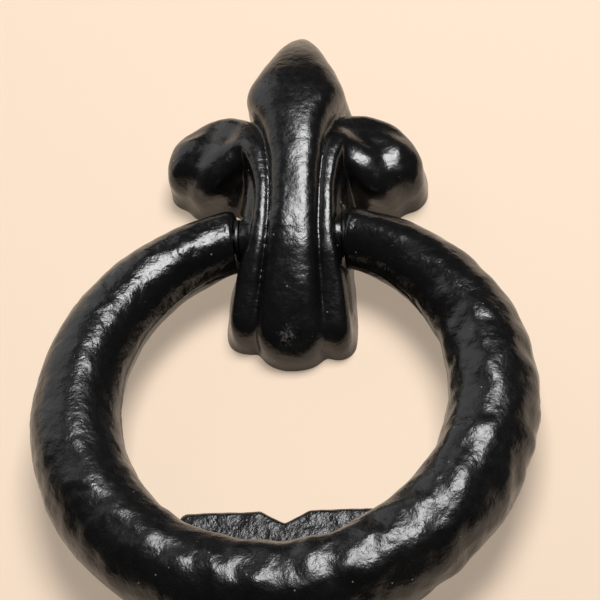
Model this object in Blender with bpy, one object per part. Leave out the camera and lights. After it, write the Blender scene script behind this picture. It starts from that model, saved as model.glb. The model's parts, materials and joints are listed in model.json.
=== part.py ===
"""Fleur-de-lys ring door knocker in black painted cast iron, with its striker plate.

The door's outer face is the plane y = 0, the knocker's front faces -Y, and +Z is up.
The origin is on the back of the head, at the height of the axis that the ring swings on.
Studs run through the door along +Y to washers and domed nuts on its inner face.
"""

import math

import bmesh
import bpy
from mathutils import Vector

MM = 0.001
GAP = 0.3 * MM

# The door that the studs pass through.
DOOR_THICKNESS = 44 * MM

# The hinge: the pin's axis runs along X, in front of the door.
PIVOT_HEIGHT = 13 * MM
PIN_RADIUS = 3 * MM
PIN_HALF_LENGTH = 21.5 * MM
PIN_CHAMFER = 0.5 * MM
BOSS_RADIUS = 5.2 * MM
BOSS_PROUD = 0.2 * MM
CHEEK = 12.7 * MM
CHEEK_RADIUS = 8.3 * MM
CHEEK_FLARE = 2.0 * MM
CHEEK_DEPTH = 5 * MM
HINGE_WASHER_RADIUS = 5.4 * MM
HINGE_WASHER_THICKNESS = 0.8 * MM
RING_END = CHEEK + 2 * GAP + HINGE_WASHER_THICKNESS + 0.1 * MM

# The ring: a round bar on a circle, thin where it hangs and thick where it knocks.
RING_RADIUS = 50.5 * MM
BAR_RADIUS_TOP = 7.5 * MM
BAR_RADIUS_BOTTOM = 11.5 * MM
BAR_SWELL = 2.7
RING_LEAN = math.radians(3.3)
RING_STATIONS = 50
BAR_SEGMENTS = 18
RING_BORE_DEPTH = 8 * MM

# The head. A station of a petal is x, z, half width, shoulder height and crest height.
# Heights are measured from the door, and a petal's sides rise to its shoulder.
PETAL_CROWN_SEGMENTS = 8
PETAL_STEPS = 2
PETAL_END_STEPS = 4
CROWN_POWER = 0.84
RIB_CROWN_POWER = 0.66
BAND_CROWN_POWER = 0.62
RIB_DRAFT = 0.08
LEFT_DRAFT = 0.36
RIGHT_DRAFT = 0.17
LOBE_DRAFT = 0.05
BUD_AND_RIB = [
    (-0.6, 67.0, 1.0, 4.0, 6.8),
    (-0.5, 64.4, 2.4, 6.0, 10.0),
    (-0.4, 60.2, 4.7, 8.0, 14.4),
    (-0.2, 54.0, 7.5, 10.5, 19.0),
    (-0.1, 47.0, 10.6, 12.5, 22.5),
    (-0.1, 40.5, 12.6, 14.0, 24.3),
    (0.2, 36.0, 11.5, 15.5, 25.0),
    (0.6, 31.0, 9.3, 16.5, 25.2),
    (0.9, 24.0, 7.6, 17.0, 24.9),
    (1.1, 15.0, 6.7, 17.2, 23.9),
    (1.1, 6.0, 6.4, 16.7, 22.8),
    (0.8, -3.0, 6.7, 15.0, 21.0),
    (0.4, -10.0, 7.3, 12.2, 18.6),
    (-0.1, -17.0, 8.0, 9.0, 15.8),
    (-0.4, -23.4, 8.6, 5.6, 12.4),
]
SIDE_PETAL = [
    (27.7, 21.0, 5.3, 7.5, 13.4),
    (27.2, 25.6, 5.4, 8.0, 13.8),
    (24.0, 30.2, 5.4, 8.0, 13.4),
    (18.6, 32.6, 5.4, 8.5, 14.8),
    (13.6, 30.6, 4.9, 11.0, 17.6),
]
LEFT_BAND = [
    (10.6, 25.5, 3.8, 14.5, 20.4),
    (8.4, 19.5, 2.9, 15.5, 21.2),
    (7.2, 12.0, 2.3, 15.5, 21.0),
    (7.2, 4.0, 2.2, 14.8, 20.2),
    (8.3, -3.0, 2.8, 13.2, 18.7),
    (9.9, -9.0, 3.3, 11.0, 16.6),
    (11.1, -15.0, 3.6, 8.0, 13.8),
    (11.9, -20.4, 3.9, 5.0, 10.8),
]
RIGHT_BAND = [
    (11.2, 25.5, 3.8, 14.5, 20.6),
    (9.9, 19.5, 2.9, 15.5, 21.4),
    (9.2, 12.0, 2.4, 15.5, 21.2),
    (9.1, 4.0, 2.3, 14.8, 20.4),
    (9.2, -3.0, 2.6, 13.2, 18.8),
    (9.8, -9.0, 3.1, 11.0, 16.6),
    (10.4, -16.0, 3.6, 7.8, 13.4),
    (10.9, -23.0, 3.9, 4.4, 10.0),
]
LOBE_BULGE = [
    (17.0, 29.6, 5.0, 10.0, 16.4),
    (21.8, 27.8, 6.0, 8.5, 15.6),
    (25.6, 24.6, 6.2, 8.5, 16.2),
    (26.6, 20.8, 5.6, 8.0, 14.8),
]
LOBE_FILL = [
    (14.5, 28.0, 5.0, 11.0, 17.4),
    (18.6, 25.6, 6.5, 9.5, 16.6),
    (22.8, 22.4, 7.0, 8.5, 15.6),
]
LOBE_RIDGE = [
    (13.0, 25.5, 4.0, 12.0, 19.8),
    (17.0, 22.2, 5.4, 10.0, 18.4),
    (21.3, 19.6, 6.0, 8.5, 16.8),
    (25.0, 18.9, 5.4, 6.5, 13.8),
]
FLANK = [
    (9.8, 21.0, 3.4, 11.0, 17.5),
    (9.2, 12.0, 3.5, 12.0, 18.4),
    (9.2, 4.0, 3.6, 11.0, 18.0),
    (9.6, -4.0, 3.5, 9.0, 16.0),
    (10.4, -11.0, 3.6, 6.0, 12.6),
    (11.2, -17.0, 3.2, 4.0, 9.6),
]
FLANK_SHIFT = 0.6
GROOVE = [
    (8.6, 32.0, 3.0, 12.0, 17.6),
    (7.4, 26.0, 3.0, 12.0, 19.2),
    (6.2, 19.5, 3.0, 12.0, 19.9),
    (5.6, 12.0, 3.0, 12.0, 19.7),
    (5.6, 4.0, 3.0, 11.0, 18.9),
    (6.1, -3.0, 3.0, 9.5, 17.3),
    (6.9, -9.0, 3.0, 7.5, 15.1),
    (7.7, -15.0, 3.0, 5.0, 12.2),
    (8.2, -20.4, 3.0, 3.0, 9.2),
]
GROOVE_SHIFT = 1.6
LOBE_DROP = 0.095
LOBE_START = 10
LOBE_SHIFT = -0.9
BUD_POCKET = (0, 44, 7.5, 9.5, 11)
LOBE_POCKETS = [(-23.9, 23.5, 5.5, 8.5, 8), (22.1, 23.5, 5.5, 8.5, 8)]
POCKET_DRAFT = 0.82

# Studs, washers and domed nuts, all M6.
STUD_RADIUS = 3 * MM
STUD_DEPTH = 9 * MM
STRIKER_STUD_DEPTH = 4.6 * MM
STUD_CHAMFER = 0.6 * MM
UPPER_STUD_Z = 22 * MM
LOWER_STUD_Z = -15 * MM
DOOR_WASHER_RADIUS = 9 * MM
DOOR_WASHER_THICKNESS = 1.6 * MM
NUT_ACROSS_FLATS = 10 * MM
NUT_HEX_HEIGHT = 5.5 * MM
NUT_HEIGHT = 12 * MM
NUT_DOME_RADIUS = 4.75 * MM
NUT_BORE_DEPTH = 8 * MM

# The grub screw beside the head's centre line bears on the pin.
GRUB_X = 6 * MM
GRUB_RADIUS = 2 * MM
GRUB_LENGTH = 5 * MM
GRUB_SOCKET_RADIUS = 1.1 * MM
GRUB_SOCKET_DEPTH = 2 * MM

# The striker plate, centred a little above the bar's lowest part.
STRIKER_HALF_WIDTH = 26 * MM
STRIKER_HALF_HEIGHT = 26 * MM
STRIKER_RISE = 1 * MM
STRIKER_THICKNESS = 6.8 * MM
STRIKER_CORNER = 2.5 * MM
STRIKER_NOTCH_HALF_WIDTH = 6 * MM
STRIKER_NOTCH_DEPTH = 3.4 * MM
STRIKER_BEVEL = 1.4 * MM

RING_DROP = RING_RADIUS + math.sqrt(RING_RADIUS ** 2 - RING_END ** 2)
STRIKER_Z = -RING_DROP * math.cos(RING_LEAN) + STRIKER_RISE


def clear_scene():
    for item in list(bpy.data.objects):
        bpy.data.objects.remove(item, do_unlink=True)


def make_material(name, colour, roughness, metallic):
    material = bpy.data.materials.new(name)
    material.use_nodes = True
    shader = material.node_tree.nodes["Principled BSDF"]
    shader.inputs["Base Color"].default_value = (*colour, 1.0)
    shader.inputs["Roughness"].default_value = roughness
    shader.inputs["Metallic"].default_value = metallic
    return material


def make_object(name, bm, material=None, location=(0, 0, 0)):
    """Turn a closed bmesh into an object, with round parts shaded smooth."""
    bmesh.ops.recalc_face_normals(bm, faces=bm.faces)
    mesh = bpy.data.meshes.new(name)
    bm.to_mesh(mesh)
    bm.free()
    mesh.shade_smooth()
    mesh.set_sharp_from_angle(angle=math.radians(35))
    item = bpy.data.objects.new(name, mesh)
    item.location = location
    bpy.context.scene.collection.objects.link(item)
    if material:
        mesh.materials.append(material)
    return item


def combine(target, operand, operation, solver="EXACT"):
    """Add a Boolean to the target, and keep its operand out of the model."""
    modifier = target.modifiers.new(operation.lower(), "BOOLEAN")
    modifier.operation = operation
    modifier.solver = solver
    modifier.use_self = operation == "UNION"
    modifier.object = operand
    operand.hide_render = True
    operand.display_type = "WIRE"


def loft(loops, closed=False):
    """Skin a list of equal closed loops. A loop of one point is a pole."""
    bm = bmesh.new()
    rows = [[bm.verts.new(point) for point in loop] for loop in loops]
    pairs = list(zip(rows, rows[1:]))
    if closed:
        pairs.append((rows[-1], rows[0]))
    for row, following in pairs:
        count = max(len(row), len(following))
        for i in range(count):
            j = (i + 1) % count
            corners = [row[i % len(row)], row[j % len(row)],
                       following[j % len(following)], following[i % len(following)]]
            bm.faces.new(list(dict.fromkeys(corners)))
    if not closed:
        for row in (rows[0], rows[-1]):
            if len(row) > 1:
                bm.faces.new(row)
    return bm


def circle(radius, y, segments):
    if radius == 0:
        return [Vector((0, y, 0))]
    angles = [2 * math.pi * i / segments for i in range(segments)]
    return [Vector((radius * math.cos(a), y, radius * math.sin(a))) for a in angles]


def hexagon(across_flats, y, segments):
    """Points spread around a hexagon, six of them on its corners."""
    points = []
    for i in range(segments):
        angle = 2 * math.pi * i / segments
        from_flat = (angle % (math.pi / 3)) - math.pi / 6
        radius = across_flats / 2 / math.cos(from_flat)
        points.append(Vector((radius * math.cos(angle), y, radius * math.sin(angle))))
    return points


def turned(name, profile, segments, material, location=(0, 0, 0), closed=False):
    """Turn a profile of (radius, y) about the Y axis."""
    loops = [circle(radius, y, segments) for radius, y in profile]
    return make_object(name, loft(loops, closed), material, location)


def bar(name, radius, start, end, segments=24):
    """A plain round cutter along Y."""
    return turned(name, [(0, start), (radius, start), (radius, end), (0, end)], segments, None)


def smooth_stations(stations, steps):
    """Run a Catmull-Rom curve through the stations."""
    points = [Vector(station) for station in stations]
    padded = [2 * points[0] - points[1], *points, 2 * points[-1] - points[-2]]
    result = []
    for a, b, c, d in zip(padded, padded[1:], padded[2:], padded[3:]):
        for step in range(steps):
            t = step / steps
            result.append(0.5 * (2 * b + (c - a) * t + (2 * a - 5 * b + 4 * c - d) * t ** 2
                                 + (3 * b - a - 3 * c + d) * t ** 3))
    result.append(points[-1])
    return result


def rounded_end(station, before, length):
    """Carry a petal on past its last station, shrinking to a rounded end."""
    slope = (station - before) / (Vector(station[:2]) - Vector(before[:2])).length
    result = []
    for step in range(1, PETAL_END_STEPS + 1):
        angle = math.radians(84) * step / PETAL_END_STEPS
        x, z, half_width, shoulder, crest = station + slope * (length * math.sin(angle))
        shrink = math.cos(angle)
        half_width = max(half_width, 0.6) * shrink
        result.append(Vector((x, z, half_width, shoulder, shoulder + (crest - shoulder) * shrink)))
    return result


def local_draft(x, z, draft):
    """The stem's draft, fading to the lobes' steeper sides where the band curls over."""
    t = min(1.0, max(0.0, (x + 0.35 * max(z, 0) - 17) / 4))
    return draft + (LOBE_DRAFT - draft) * t


def petal_loop(station, across, base, draft, power):
    """A petal's section: drafted sides up to the shoulder, then a rounded crown."""
    x, z, half_width, shoulder, crest = station
    foot = half_width + (shoulder + base) * local_draft(x, z, draft)
    section = [(foot, base)]
    for i in range(PETAL_CROWN_SEGMENTS + 1):
        angle = math.pi * i / PETAL_CROWN_SEGMENTS
        across_crown = math.copysign(abs(math.cos(angle)) ** power, math.cos(angle))
        section.append((half_width * across_crown,
                        -shoulder - (crest - shoulder) * abs(math.sin(angle)) ** power))
    section.append((-foot, base))
    return [Vector((x + across[0] * s, y, z + across[1] * s)) * MM for s, y in section]


def dropped(stations, side):
    """The lobes sit a little lower and nearer the stem on the right of the casting."""
    return [(x + side * LOBE_SHIFT, z - side * LOBE_DROP * max(x - LOBE_START, 0), *sizes)
            for x, z, *sizes in stations]


def petal(name, stations, ends, base, draft, side=1, power=CROWN_POWER):
    """A petal along its spine, with rounded ends, reaching a little behind the back face."""
    spine = smooth_stations(stations, PETAL_STEPS)
    head = rounded_end(spine[0], spine[1], ends[0])
    tail = rounded_end(spine[-1], spine[-2], ends[1])
    spine = head[::-1] + spine + tail
    loops = []
    for i, station in enumerate(spine):
        before = spine[max(i - 1, 0)]
        after = spine[min(i + 1, len(spine) - 1)]
        along = (Vector(after[:2]) - Vector(before[:2])).normalized()
        loop = petal_loop(station, (-along.y, along.x), base, draft, power)
        loops.append([Vector((side * point.x, point.y, point.z)) for point in loop])
    return make_object(name, loft(loops))


def pocket(name, place):
    """An oval core pocket in the back of the head, narrower at its floor."""
    x, z, half_width, half_height, depth = place
    loops = []
    for y, scale in ((1, 1), (0, 1), (-0.8 * depth, POCKET_DRAFT), (-depth, 0.7 * POCKET_DRAFT)):
        loop = []
        for i in range(16):
            angle = 2 * math.pi * i / 16
            loop.append(Vector((x + half_width * scale * math.cos(angle), y,
                                z + half_height * scale * math.sin(angle))) * MM)
        loops.append(loop)
    return make_object(name, loft(loops))


def back_trim():
    """Everything behind the door's face."""
    bm = bmesh.new()
    bmesh.ops.create_cube(bm, size=1)
    bmesh.ops.scale(bm, verts=bm.verts, vec=(120 * MM, 20 * MM, 160 * MM))
    return make_object("cut_back", bm, location=(0, 10 * MM, 20 * MM))


def moved(stations, shift):
    return [(x + shift, *rest) for x, *rest in stations]


def side_petals(side, tag, band, draft):
    """The band with its curled lobe, the shapes that fill the lobe, and the stem's flank and groove."""
    shifted = 1 if side > 0 else 0
    shapes = [("band", dropped(SIDE_PETAL, side) + band, (4.5, 5.0), draft, BAND_CROWN_POWER),
              ("bulge", dropped(LOBE_BULGE, side), (3.5, 4.0), LOBE_DRAFT, CROWN_POWER),
              ("fill", dropped(LOBE_FILL, side), (3.0, 3.0), LOBE_DRAFT, CROWN_POWER),
              ("ridge", dropped(LOBE_RIDGE, side), (2.0, 3.5), LOBE_DRAFT, CROWN_POWER),
              ("flank", moved(FLANK, FLANK_SHIFT * shifted), (3.0, 3.0), LOBE_DRAFT, CROWN_POWER),
              ("groove", moved(GROOVE, GROOVE_SHIFT * shifted), (2.5, 2.5), LOBE_DRAFT, CROWN_POWER)]
    petals = []
    for i, (name, stations, ends, sides, power) in enumerate(shapes):
        base = 1.4 + 0.6 * i + 0.2 * side
        petals.append(petal("join_" + name + "_" + tag, stations, ends, base, sides, side, power))
    return petals


def hinge_boss():
    """The round boss that carries the pin across the stem."""
    boss = bar("join_boss", BOSS_RADIUS, -CHEEK, CHEEK, 28)
    boss.location = (0, -PIVOT_HEIGHT, 0)
    boss.rotation_euler = (0, math.radians(4), math.pi / 2)
    return boss


def core_cutters():
    """The trim behind the door's face, the core pockets and the clearance for the ring's ends."""
    cutters = [back_trim(), pocket("cut_bud_pocket", BUD_POCKET)]
    for side, tag, place in ((-1, "left", LOBE_POCKETS[0]), (1, "right", LOBE_POCKETS[1])):
        cutters.append(pocket("cut_lobe_pocket_" + tag, place))
        flared = [(0, 0), (CHEEK_RADIUS, 0), (CHEEK_RADIUS + CHEEK_FLARE, CHEEK_DEPTH), (0, CHEEK_DEPTH)]
        face = side * (CHEEK - BOSS_PROUD)
        cheek = turned("cut_cheek_" + tag, flared, 32, None, (face, -PIVOT_HEIGHT, 0))
        cheek.rotation_euler.z = -side * math.pi / 2
        cutters.append(cheek)
    return cutters


def drill_cutters():
    """The pin's hole, the two stud holes and the grub screw's hole."""
    pin_hole = bar("cut_pin_hole", PIN_RADIUS + GAP, -20 * MM, 20 * MM)
    pin_hole.location = (0, -PIVOT_HEIGHT, 0)
    pin_hole.rotation_euler.z = math.pi / 2
    cutters = [pin_hole]
    for tag, z in (("upper", UPPER_STUD_Z), ("lower", LOWER_STUD_Z)):
        hole = bar("cut_stud_hole_" + tag, STUD_RADIUS + GAP, -STUD_DEPTH - GAP, 1 * MM)
        hole.location.z = z
        cutters.append(hole)
    grub_hole = bar("cut_grub_hole", GRUB_RADIUS + GAP, -PIVOT_HEIGHT, 1 * MM, 16)
    grub_hole.location.x = GRUB_X
    cutters.append(grub_hole)
    return cutters


def fleur_head(material):
    """The casting: petals joined, trimmed flat at the back, cored and drilled."""
    head = petal("fleur_head", BUD_AND_RIB, (4.4, 7.2), 1.0, RIB_DRAFT, power=RIB_CROWN_POWER)
    head.data.materials.append(material)
    petals = side_petals(-1, "left", LEFT_BAND, LEFT_DRAFT)
    petals += side_petals(1, "right", RIGHT_BAND, RIGHT_DRAFT)
    for item in petals:
        combine(head, item, "UNION")
    for item in core_cutters():
        combine(head, item, "DIFFERENCE")
    combine(head, hinge_boss(), "UNION")
    for item in drill_cutters():
        combine(head, item, "DIFFERENCE", "MANIFOLD")


def bar_radius(angle):
    """The ring's bar at an angle from the top of its circle."""
    swell = ((1 + math.cos(angle)) / 2) ** BAR_SWELL
    return BAR_RADIUS_BOTTOM + (BAR_RADIUS_TOP - BAR_RADIUS_BOTTOM) * swell


def knocker_ring(material):
    """The ring, from one flat end round to the other, bored for the pin."""
    end_angle = math.asin(RING_END / RING_RADIUS)
    centre_drop = RING_RADIUS * math.cos(end_angle)
    loops = []
    for i in range(RING_STATIONS + 1):
        angle = end_angle + (2 * math.pi - 2 * end_angle) * i / RING_STATIONS
        outward = Vector((math.sin(angle), 0, math.cos(angle)))
        along = Vector((math.cos(angle), 0, -math.sin(angle)))
        centre = RING_RADIUS * outward - Vector((0, 0, centre_drop))
        loop = []
        for k in range(BAR_SEGMENTS):
            turn = 2 * math.pi * k / BAR_SEGMENTS
            offset = outward * math.cos(turn) + Vector((0, 1, 0)) * math.sin(turn)
            point = centre + bar_radius(angle) * offset
            if i in (0, RING_STATIONS):
                end_x = math.copysign(RING_END, centre.x)
                point += along * ((end_x - point.x) / along.x)
            loop.append(point)
        loops.append(loop)
    ring = make_object("knocker_ring", loft(loops), material, (0, -PIVOT_HEIGHT, 0))
    ring.rotation_euler.x = -RING_LEAN
    for side, tag in ((-1, "left"), (1, "right")):
        bore = bar("cut_ring_bore_" + tag, PIN_RADIUS + GAP, -2 * MM, RING_BORE_DEPTH)
        bore.location = (side * RING_END, -PIVOT_HEIGHT, 0)
        bore.rotation_euler.z = -side * math.pi / 2
        combine(ring, bore, "DIFFERENCE")


def hinge_pin(material):
    end = PIN_HALF_LENGTH
    profile = [(0, -end), (PIN_RADIUS - PIN_CHAMFER, -end), (PIN_RADIUS, PIN_CHAMFER - end),
               (PIN_RADIUS, end - PIN_CHAMFER), (PIN_RADIUS - PIN_CHAMFER, end), (0, end)]
    pin = turned("hinge_pin", profile, 24, material, (0, -PIVOT_HEIGHT, 0))
    pin.rotation_euler.z = math.pi / 2


def washer(name, radius, bore, thickness, material, location):
    """A flat washer from y = 0 to its thickness, with the outer edges eased."""
    ease = 0.15 * MM
    profile = [(bore, 0), (radius - ease, 0), (radius, ease), (radius, thickness - ease),
               (radius - ease, thickness), (bore, thickness)]
    return turned(name, profile, 28, material, location, closed=True)


def hinge_washers(material):
    """One washer on the pin at each side, between the head's cheek and the ring's end."""
    for side, tag in ((-1, "left"), (1, "right")):
        place = (side * (CHEEK + GAP), -PIVOT_HEIGHT, 0)
        item = washer("hinge_washer_" + tag, HINGE_WASHER_RADIUS, PIN_RADIUS + GAP,
                      HINGE_WASHER_THICKNESS, material, place)
        item.rotation_euler.z = -side * math.pi / 2


def pin_grub_screw(material):
    """A socket screw whose point stops just short of the pin."""
    point = -PIVOT_HEIGHT + PIN_RADIUS + GAP
    back = point + GRUB_LENGTH
    loops = [circle(0, point, 12), circle(GRUB_RADIUS * 0.5, point, 12),
             circle(GRUB_RADIUS, point + GRUB_RADIUS * 0.4, 12), circle(GRUB_RADIUS, back, 12),
             hexagon(2 * GRUB_SOCKET_RADIUS, back, 12),
             hexagon(2 * GRUB_SOCKET_RADIUS, back - GRUB_SOCKET_DEPTH, 12),
             circle(0, back - GRUB_SOCKET_DEPTH * 1.2, 12)]
    make_object("pin_grub_screw", loft(loops), material, (GRUB_X, 0, 0))


def stud(name, depth, material, location):
    """A stud from inside its boss to inside its domed nut."""
    end = DOOR_THICKNESS + DOOR_WASHER_THICKNESS + GAP + NUT_BORE_DEPTH - 1 * MM
    narrow = STUD_RADIUS - STUD_CHAMFER
    profile = [(0, -depth), (narrow, -depth), (STUD_RADIUS, STUD_CHAMFER - depth),
               (STUD_RADIUS, end - STUD_CHAMFER), (narrow, end), (0, end)]
    turned(name, profile, 20, material, location)


def dome_nut(name, material, location):
    """A domed nut with a blind bore that faces the door."""
    segments = 24
    corner = NUT_ACROSS_FLATS / math.sqrt(3)
    loops = [circle(0, NUT_BORE_DEPTH, segments),
             circle(STUD_RADIUS + GAP, NUT_BORE_DEPTH - 0.8 * MM, segments),
             circle(STUD_RADIUS + GAP, 0, segments),
             circle(NUT_ACROSS_FLATS / 2 - 0.2 * MM, 0, segments),
             hexagon(NUT_ACROSS_FLATS, (corner - NUT_ACROSS_FLATS / 2) * 0.6, segments),
             hexagon(NUT_ACROSS_FLATS, NUT_HEX_HEIGHT - 0.4 * MM, segments),
             circle(NUT_DOME_RADIUS, NUT_HEX_HEIGHT, segments)]
    dome_height = NUT_HEIGHT - NUT_HEX_HEIGHT
    straight = dome_height - NUT_DOME_RADIUS
    for step in range(5):
        angle = math.pi / 2 * step / 5
        loops.append(circle(NUT_DOME_RADIUS * math.cos(angle),
                            NUT_HEX_HEIGHT + straight + NUT_DOME_RADIUS * math.sin(angle), segments))
    loops.append(circle(0, NUT_HEIGHT, segments))
    make_object(name, loft(loops), material, location)


def fixing(names, z, depth, material):
    """A stud through the door, with its washer and domed nut on the inner face."""
    stud_name, washer_name, nut_name = names
    stud(stud_name, depth, material, (0, 0, z))
    washer(washer_name, DOOR_WASHER_RADIUS, STUD_RADIUS + GAP, DOOR_WASHER_THICKNESS, material,
           (0, DOOR_THICKNESS, z))
    dome_nut(nut_name, material, (0, DOOR_THICKNESS + DOOR_WASHER_THICKNESS + GAP, z))


def corner_arc(x, z, start):
    """The striker's rounded corner about its own centre, from a start angle in degrees."""
    points = []
    for step in range(4):
        angle = math.radians(start - 30 * step)
        points.append((x + STRIKER_CORNER * math.cos(angle), z + STRIKER_CORNER * math.sin(angle)))
    return points


def striker_outline():
    """Clockwise from the top notch, with a matching notch in the lower edge."""
    right = STRIKER_HALF_WIDTH - STRIKER_CORNER
    top = STRIKER_HALF_HEIGHT - STRIKER_CORNER
    half = [(0, STRIKER_HALF_HEIGHT - STRIKER_NOTCH_DEPTH),
            (STRIKER_NOTCH_HALF_WIDTH, STRIKER_HALF_HEIGHT)]
    half += corner_arc(right, top, 90) + corner_arc(right, -top, 0)
    half.append((STRIKER_NOTCH_HALF_WIDTH, -STRIKER_HALF_HEIGHT))
    return half + [(-x, -z) for x, z in half]


def striker_plate(material):
    bm = bmesh.new()
    back = bm.faces.new([bm.verts.new((x, 0, z)) for x, z in striker_outline()])
    front = bmesh.ops.extrude_face_region(bm, geom=[back])["geom"]
    verts = [item for item in front if isinstance(item, bmesh.types.BMVert)]
    bmesh.ops.translate(bm, verts=verts, vec=(0, -STRIKER_THICKNESS, 0))
    edges = [edge for edge in bm.edges if all(v.co.y < -STRIKER_THICKNESS / 2 for v in edge.verts)]
    bmesh.ops.bevel(bm, geom=edges, offset=STRIKER_BEVEL, segments=2, profile=0.5,
                    affect="EDGES")
    plate = make_object("striker_plate", bm, material, (0, 0, STRIKER_Z))
    hole = bar("cut_striker_hole", STUD_RADIUS + GAP, -STRIKER_STUD_DEPTH - GAP, 1 * MM)
    hole.location.z = STRIKER_Z
    combine(plate, hole, "DIFFERENCE")


def build():
    clear_scene()
    iron = make_material("black_painted_iron", (0.012, 0.012, 0.013), 0.34, 0.0)
    ring_iron = make_material("black_hammered_iron", (0.012, 0.012, 0.013), 0.3, 0.0)
    steel = make_material("zinc_plated_steel", (0.55, 0.56, 0.57), 0.35, 1.0)
    dark_steel = make_material("black_steel", (0.05, 0.05, 0.052), 0.4, 1.0)
    fleur_head(iron)
    knocker_ring(ring_iron)
    hinge_pin(dark_steel)
    hinge_washers(dark_steel)
    pin_grub_screw(dark_steel)
    for tag, z in (("upper", UPPER_STUD_Z), ("lower", LOWER_STUD_Z)):
        names = ("head_stud_" + tag, "head_washer_" + tag, "head_dome_nut_" + tag)
        fixing(names, z, STUD_DEPTH, steel)
    striker_plate(iron)
    fixing(("striker_stud", "striker_washer", "striker_dome_nut"), STRIKER_Z,
           STRIKER_STUD_DEPTH, steel)


build()
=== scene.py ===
"""Visual model of a fleur-de-lys ring door knocker in black painted cast iron.

Each CAD solid is replaced by a finely modelled piece in the same place: the cast head, the
hammered ring, the striker plate, and the turned pin, washers, threaded studs and domed nuts.
"""

import json
import math

import bmesh
import bpy
from mathutils import Matrix, Vector, noise


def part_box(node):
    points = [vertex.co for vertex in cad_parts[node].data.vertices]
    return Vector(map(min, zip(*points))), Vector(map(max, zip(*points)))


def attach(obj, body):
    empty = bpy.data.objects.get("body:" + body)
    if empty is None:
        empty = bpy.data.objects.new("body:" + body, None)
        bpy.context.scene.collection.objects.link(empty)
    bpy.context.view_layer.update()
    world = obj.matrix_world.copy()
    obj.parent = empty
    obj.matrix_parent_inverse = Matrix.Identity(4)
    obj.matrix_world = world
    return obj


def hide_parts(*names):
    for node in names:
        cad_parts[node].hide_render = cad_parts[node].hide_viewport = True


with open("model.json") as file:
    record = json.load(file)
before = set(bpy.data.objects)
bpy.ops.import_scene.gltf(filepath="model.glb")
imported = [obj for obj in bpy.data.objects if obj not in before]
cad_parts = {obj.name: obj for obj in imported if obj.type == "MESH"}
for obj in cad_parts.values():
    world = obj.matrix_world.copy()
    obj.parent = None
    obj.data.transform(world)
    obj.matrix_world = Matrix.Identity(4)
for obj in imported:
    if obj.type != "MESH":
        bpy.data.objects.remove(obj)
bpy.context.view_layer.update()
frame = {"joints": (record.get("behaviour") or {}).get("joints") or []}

MM = 0.001
GAP = 0.3 * MM
FIXED = "door_side"
MOVING = "ring"
PIVOT = Vector(frame["joints"][0]["pos_m"])

# The camera is below the knocker and to its right, with a long lens.
CAMERA_AZIMUTH = math.radians(9.02)
CAMERA_ELEVATION = math.radians(-31.15)
CAMERA_ROLL = math.radians(2.34)
CAMERA_DISTANCE = 0.6749
CAMERA_AIM = Vector((-0.0004, 0.0054, -0.0066))
CAMERA_LENS = 159.4

# The head's petals: x, z, half width, shoulder height and crest height in millimetres.
CROWN_SEGMENTS = 28
SPINE_STEPS = 8
END_STEPS = 10
CROWN_POWER = 0.84
RIB_CROWN_POWER = 0.66
BAND_CROWN_POWER = 0.62
RIB_DRAFT = 0.08
LEFT_DRAFT = 0.36
RIGHT_DRAFT = 0.17
LOBE_DRAFT = 0.05
BUD_AND_RIB = [
    (-0.6, 67.0, 1.0, 4.0, 6.8),
    (-0.5, 64.4, 2.4, 6.0, 10.0),
    (-0.4, 60.2, 4.7, 8.0, 14.4),
    (-0.2, 54.0, 7.5, 10.5, 19.0),
    (-0.1, 47.0, 10.6, 12.5, 22.5),
    (-0.1, 40.5, 12.6, 14.0, 24.3),
    (0.2, 36.0, 11.5, 15.5, 25.0),
    (0.6, 31.0, 9.3, 16.5, 25.2),
    (0.9, 24.0, 7.6, 17.0, 24.9),
    (1.1, 15.0, 6.7, 17.2, 23.9),
    (1.1, 6.0, 6.4, 16.7, 22.8),
    (0.8, -3.0, 6.7, 15.0, 21.0),
    (0.4, -10.0, 7.3, 12.2, 18.6),
    (-0.1, -17.0, 8.0, 9.0, 15.8),
    (-0.4, -23.4, 8.6, 5.6, 12.4),
]
SIDE_PETAL = [
    (27.7, 21.0, 5.3, 7.5, 13.4),
    (27.2, 25.6, 5.4, 8.0, 13.8),
    (24.0, 30.2, 5.4, 8.0, 13.4),
    (18.6, 32.6, 5.4, 8.5, 14.8),
    (13.6, 30.6, 4.9, 11.0, 17.6),
]
LEFT_BAND = [
    (10.6, 25.5, 3.8, 14.5, 20.4),
    (8.4, 19.5, 2.9, 15.5, 21.2),
    (7.2, 12.0, 2.3, 15.5, 21.0),
    (7.2, 4.0, 2.2, 14.8, 20.2),
    (8.3, -3.0, 2.8, 13.2, 18.7),
    (9.9, -9.0, 3.3, 11.0, 16.6),
    (11.1, -15.0, 3.6, 8.0, 13.8),
    (11.9, -20.4, 3.9, 5.0, 10.8),
]
RIGHT_BAND = [
    (11.2, 25.5, 3.8, 14.5, 20.6),
    (9.9, 19.5, 2.9, 15.5, 21.4),
    (9.2, 12.0, 2.4, 15.5, 21.2),
    (9.1, 4.0, 2.3, 14.8, 20.4),
    (9.2, -3.0, 2.6, 13.2, 18.8),
    (9.8, -9.0, 3.1, 11.0, 16.6),
    (10.4, -16.0, 3.6, 7.8, 13.4),
    (10.9, -23.0, 3.9, 4.4, 10.0),
]
LOBE_BULGE = [
    (17.0, 29.6, 5.0, 10.0, 16.4),
    (21.8, 27.8, 6.0, 8.5, 15.6),
    (25.6, 24.6, 6.2, 8.5, 16.2),
    (26.6, 20.8, 5.6, 8.0, 14.8),
]
LOBE_FILL = [
    (14.5, 28.0, 5.0, 11.0, 17.4),
    (18.6, 25.6, 6.5, 9.5, 16.6),
    (22.8, 22.4, 7.0, 8.5, 15.6),
]
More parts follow.
